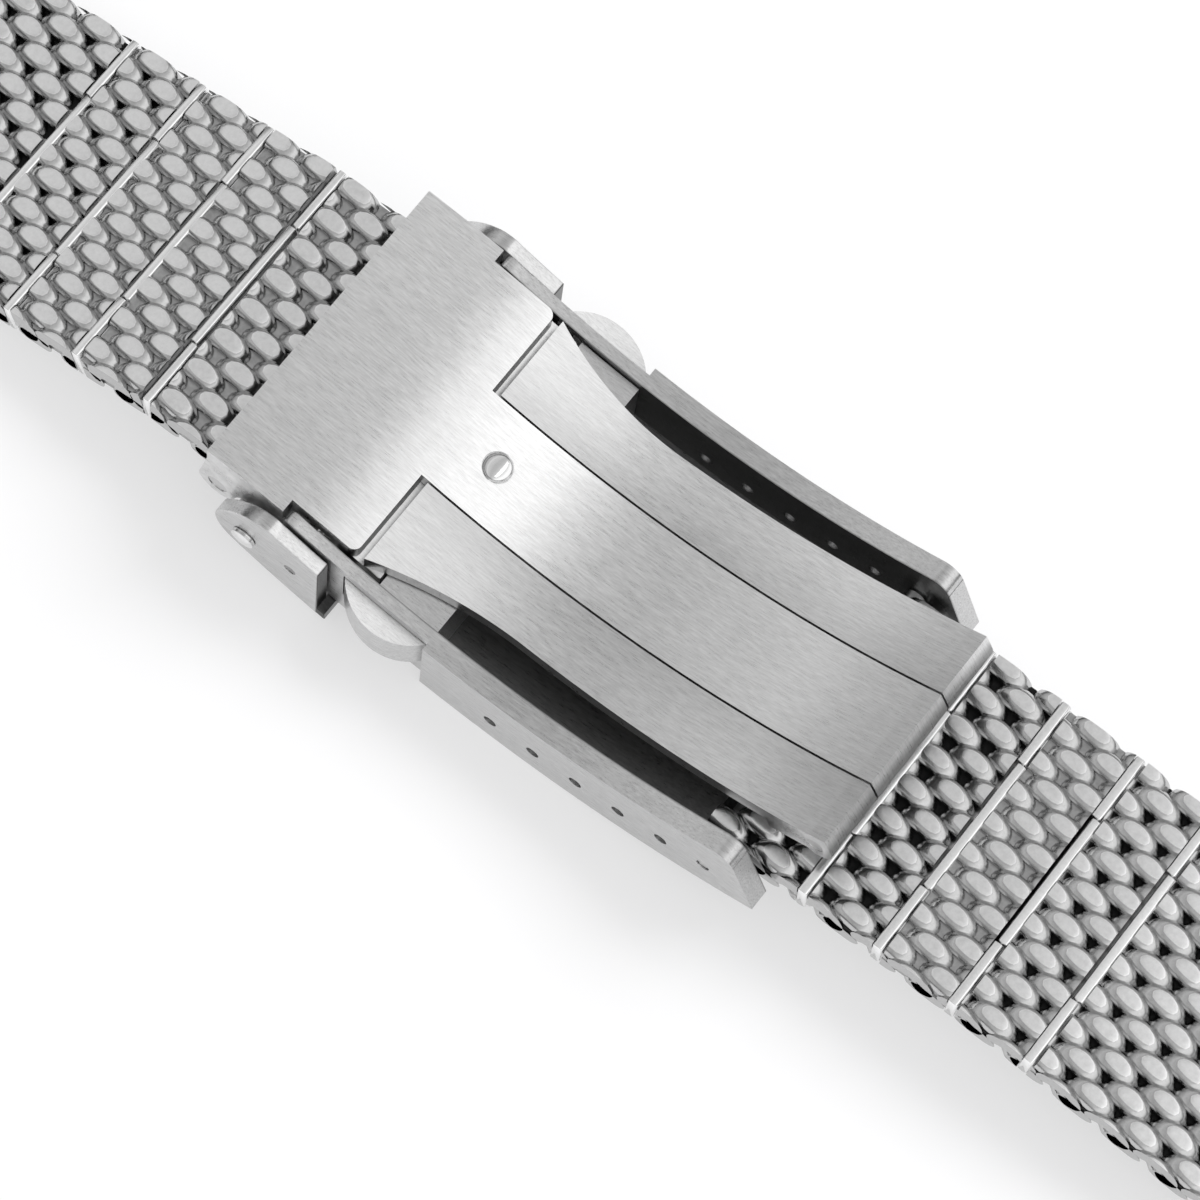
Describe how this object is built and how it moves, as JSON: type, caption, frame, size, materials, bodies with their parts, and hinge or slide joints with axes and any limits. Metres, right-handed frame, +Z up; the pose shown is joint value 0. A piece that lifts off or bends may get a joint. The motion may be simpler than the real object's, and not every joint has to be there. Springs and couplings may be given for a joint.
{
  "type": "mesh watch band",
  "caption": "Thick steel mesh watch band with removable links, a curved folding clasp with push buttons and a safety flap, and spring bars at both ends.",
  "frame": {"origin": "centre of the band's bounding box in plan, on the table it lies on, wrist side up", "axes": "+X along the band from the tongue side to the side with the adjustment holes, +Y across the band, +Z up, towards the wrist"},
  "size_m": [0.173, 0.026, 0.0129],
  "materials": {
    "satin_steel": "satin, brushed along the band",
    "mesh_steel": "satin, with the tops of the wire ground flat",
    "pin_steel": "turned steel",
    "polished_steel": "polished"
  },
  "bodies": {
    "cover": {"clasp_cover": "satin_steel", "lock_housing": "satin_steel", "cover_hinge_pin": "pin_steel", "flap_rivets": "polished_steel", "strap_bar": "pin_steel", "strap_bar_spring": "pin_steel", "button_spring_near": "pin_steel", "button_spring_far": "pin_steel"},
    "fork": {"fork_blade": "satin_steel", "blade_hinge_pin": "pin_steel"},
    "tongue": {"tongue_blade": "satin_steel", "latch_post": "satin_steel", "strap_pin": "pin_steel"},
    "button_near": {"push_button_near": "satin_steel", "latch_jaw_near": "pin_steel"},
    "button_far": {"push_button_far": "satin_steel", "latch_jaw_far": "pin_steel"},
    "flap": {"safety_flap": "satin_steel"},
    "strap_tip_near": {"strap_bar_tip_near": "pin_steel"},
    "strap_tip_far": {"strap_bar_tip_far": "pin_steel"},
    "tongue_link_1": {"tongue_link_1": "mesh_steel", "tongue_link_pin_1": "pin_steel"},
    "tongue_link_2": {"tongue_link_2": "mesh_steel", "tongue_link_pin_2": "pin_steel"},
    "tongue_link_3": {"tongue_link_3": "mesh_steel", "tongue_link_pin_3": "pin_steel"},
    "tongue_link_4": {"tongue_link_4": "mesh_steel", "tongue_link_pin_4": "pin_steel"},
    "tongue_mesh_1": {"tongue_mesh_1": "mesh_steel"},
    "tongue_mesh_2": {"tongue_mesh_2": "mesh_steel"},
    "tongue_mesh_3": {"tongue_mesh_3": "mesh_steel"},
    "tongue_mesh_4": {"tongue_mesh_4": "mesh_steel"},
    "tongue_mesh_5": {"tongue_mesh_5": "mesh_steel", "tongue_end_tube": "mesh_steel"},
    "tongue_lug_bar": {"tongue_lug_bar": "pin_steel", "tongue_lug_spring": "pin_steel"},
    "tongue_lug_tip_near": {"tongue_lug_tip_near": "pin_steel"},
    "tongue_lug_tip_far": {"tongue_lug_tip_far": "pin_steel"},
    "cover_link_1": {"cover_link_1": "mesh_steel", "cover_link_pin_1": "pin_steel"},
    "cover_link_2": {"cover_link_2": "mesh_steel", "cover_link_pin_2": "pin_steel"},
    "cover_link_3": {"cover_link_3": "mesh_steel", "cover_link_pin_3": "pin_steel"},
    "cover_link_4": {"cover_link_4": "mesh_steel", "cover_link_pin_4": "pin_steel"},
    "cover_mesh_1": {"cover_mesh_1": "mesh_steel"},
    "cover_mesh_2": {"cover_mesh_2": "mesh_steel"},
    "cover_mesh_3": {"cover_mesh_3": "mesh_steel"},
    "cover_mesh_4": {"cover_mesh_4": "mesh_steel"},
    "cover_mesh_5": {"cover_mesh_5": "mesh_steel", "cover_end_tube": "mesh_steel"},
    "cover_lug_bar": {"cover_lug_bar": "pin_steel", "cover_lug_spring": "pin_steel"},
    "cover_lug_tip_near": {"cover_lug_tip_near": "pin_steel"},
    "cover_lug_tip_far": {"cover_lug_tip_far": "pin_steel"}
  },
  "joints": [
    {"name": "fork_open", "type": "hinge", "parent": "cover", "child": "fork", "pos_m": [-0.0142, 0, 0.00628], "axis": [0, -1, 0], "range_deg": [0, 168]},
    {"name": "blade_fold", "type": "hinge", "parent": "fork", "child": "tongue", "pos_m": [0.0217, 0, 0.01119], "axis": [0, -1, 0], "range_deg": [-168, 0]},
    {"name": "flap_open", "type": "hinge", "parent": "cover", "child": "flap", "pos_m": [-0.0191, 0, 0.0051], "axis": [0, 1, 0], "range_deg": [0, 75]},
    {"name": "button_near_press", "type": "slide", "parent": "cover", "child": "button_near", "axis": [0, 1, 0], "range_m": [0, 0.0008], "stiffness_N_per_m": 1000, "deforming": ["button_spring_near"]},
    {"name": "strap_tip_near_press", "type": "slide", "parent": "cover", "child": "strap_tip_near", "axis": [0, 1, 0], "range_m": [0, 0.0008], "stiffness_N_per_m": 500, "deforming": ["strap_bar_spring"]},
    {"name": "button_far_press", "type": "slide", "parent": "cover", "child": "button_far", "axis": [0, -1, 0], "range_m": [0, 0.0008], "stiffness_N_per_m": 1000, "deforming": ["button_spring_far"]},
    {"name": "strap_tip_far_press", "type": "slide", "parent": "cover", "child": "strap_tip_far", "axis": [0, -1, 0], "range_m": [0, 0.0008], "stiffness_N_per_m": 500, "deforming": ["strap_bar_spring"]},
    {"name": "tongue_link_1_turn", "type": "hinge", "parent": "tongue", "child": "tongue_link_1", "pos_m": [-0.0224, 0, 0.00588], "axis": [0, 1, 0], "range_deg": [-20, 35]},
    {"name": "tongue_link_2_turn", "type": "hinge", "parent": "tongue_link_1", "child": "tongue_link_2", "pos_m": [-0.029, 0, 0.00599], "axis": [0, 1, 0], "range_deg": [-12, 15]},
    {"name": "tongue_link_3_turn", "type": "hinge", "parent": "tongue_link_2", "child": "tongue_link_3", "pos_m": [-0.03455, 0, 0.00471], "axis": [0, 1, 0], "range_deg": [-12, 15]},
    {"name": "tongue_link_4_turn", "type": "hinge", "parent": "tongue_link_3", "child": "tongue_link_4", "pos_m": [-0.04015, 0, 0.00362], "axis": [0, 1, 0], "range_deg": [-12, 15]},
    {"name": "tongue_mesh_1_turn", "type": "hinge", "parent": "tongue_link_4", "child": "tongue_mesh_1", "pos_m": [-0.04576, 0, 0.00263], "axis": [0, 1, 0], "range_deg": [-12, 15]},
    {"name": "tongue_mesh_2_turn", "type": "hinge", "parent": "tongue_mesh_1", "child": "tongue_mesh_2", "pos_m": [-0.05353, 0, 0.00135], "axis": [0, 1, 0], "range_deg": [-15, 22]},
    {"name": "tongue_mesh_3_turn", "type": "hinge", "parent": "tongue_mesh_2", "child": "tongue_mesh_3", "pos_m": [-0.06141, 0, 0.00135], "axis": [0, 1, 0], "range_deg": [-15, 22]},
    {"name": "tongue_mesh_4_turn", "type": "hinge", "parent": "tongue_mesh_3", "child": "tongue_mesh_4", "pos_m": [-0.06929, 0, 0.00135], "axis": [0, 1, 0], "range_deg": [-15, 22]},
    {"name": "tongue_mesh_5_turn", "type": "hinge", "parent": "tongue_mesh_4", "child": "tongue_mesh_5", "pos_m": [-0.07717, 0, 0.00135], "axis": [0, 1, 0], "range_deg": [-15, 22]},
    {"name": "tongue_lug_swivel", "type": "hinge", "parent": "tongue_mesh_5", "child": "tongue_lug_bar", "pos_m": [-0.08515, 0, 0.00135], "axis": [0, 1, 0], "range_deg": [-90, 90]},
    {"name": "tongue_lug_tip_near_press", "type": "slide", "parent": "tongue_lug_bar", "child": "tongue_lug_tip_near", "axis": [0, 1, 0], "range_m": [0, 0.0008], "stiffness_N_per_m": 500, "deforming": ["tongue_lug_spring"]},
    {"name": "tongue_lug_tip_far_press", "type": "slide", "parent": "tongue_lug_bar", "child": "tongue_lug_tip_far", "axis": [0, -1, 0], "range_m": [0, 0.0008], "stiffness_N_per_m": 500, "deforming": ["tongue_lug_spring"]},
    {"name": "cover_link_1_turn", "type": "hinge", "parent": "cover", "child": "cover_link_1", "pos_m": [0.01644, 0, 0.00538], "axis": [0, -1, 0], "range_deg": [-5, 20]},
    {"name": "cover_link_2_turn", "type": "hinge", "parent": "cover_link_1", "child": "cover_link_2", "pos_m": [0.02263, 0, 0.0057], "axis": [0, -1, 0], "range_deg": [-12, 15]},
    {"name": "cover_link_3_turn", "type": "hinge", "parent": "cover_link_2", "child": "cover_link_3", "pos_m": [0.02833, 0, 0.00585], "axis": [0, -1, 0], "range_deg": [-12, 15]},
    {"name": "cover_link_4_turn", "type": "hinge", "parent": "cover_link_3", "child": "cover_link_4", "pos_m": [0.03403, 0, 0.00585], "axis": [0, -1, 0], "range_deg": [-12, 15]},
    {"name": "cover_mesh_1_turn", "type": "hinge", "parent": "cover_link_4", "child": "cover_mesh_1", "pos_m": [0.03972, 0, 0.0056], "axis": [0, -1, 0], "range_deg": [-12, 15]},
    {"name": "cover_mesh_2_turn", "type": "hinge", "parent": "cover_mesh_1", "child": "cover_mesh_2", "pos_m": [0.04876, 0, 0.00465], "axis": [0, -1, 0], "range_deg": [-15, 22]},
    {"name": "cover_mesh_3_turn", "type": "hinge", "parent": "cover_mesh_2", "child": "cover_mesh_3", "pos_m": [0.05776, 0, 0.00339], "axis": [0, -1, 0], "range_deg": [-15, 22]},
    {"name": "cover_mesh_4_turn", "type": "hinge", "parent": "cover_mesh_3", "child": "cover_mesh_4", "pos_m": [0.06674, 0, 0.00205], "axis": [0, -1, 0], "range_deg": [-15, 22]},
    {"name": "cover_mesh_5_turn", "type": "hinge", "parent": "cover_mesh_4", "child": "cover_mesh_5", "pos_m": [0.0758, 0, 0.00135], "axis": [0, -1, 0], "range_deg": [-15, 22]},
    {"name": "cover_lug_swivel", "type": "hinge", "parent": "cover_mesh_5", "child": "cover_lug_bar", "pos_m": [0.08515, 0, 0.00135], "axis": [0, -1, 0], "range_deg": [-90, 90]},
    {"name": "cover_lug_tip_near_press", "type": "slide", "parent": "cover_lug_bar", "child": "cover_lug_tip_near", "axis": [0, 1, 0], "range_m": [0, 0.0008], "stiffness_N_per_m": 500, "deforming": ["cover_lug_spring"]},
    {"name": "cover_lug_tip_far_press", "type": "slide", "parent": "cover_lug_bar", "child": "cover_lug_tip_far", "axis": [0, -1, 0], "range_m": [0, 0.0008], "stiffness_N_per_m": 500, "deforming": ["cover_lug_spring"]}
  ],
  "couplings": [
    {"joint": "blade_fold", "follows": "fork_open", "ratio": -1}
  ]
}
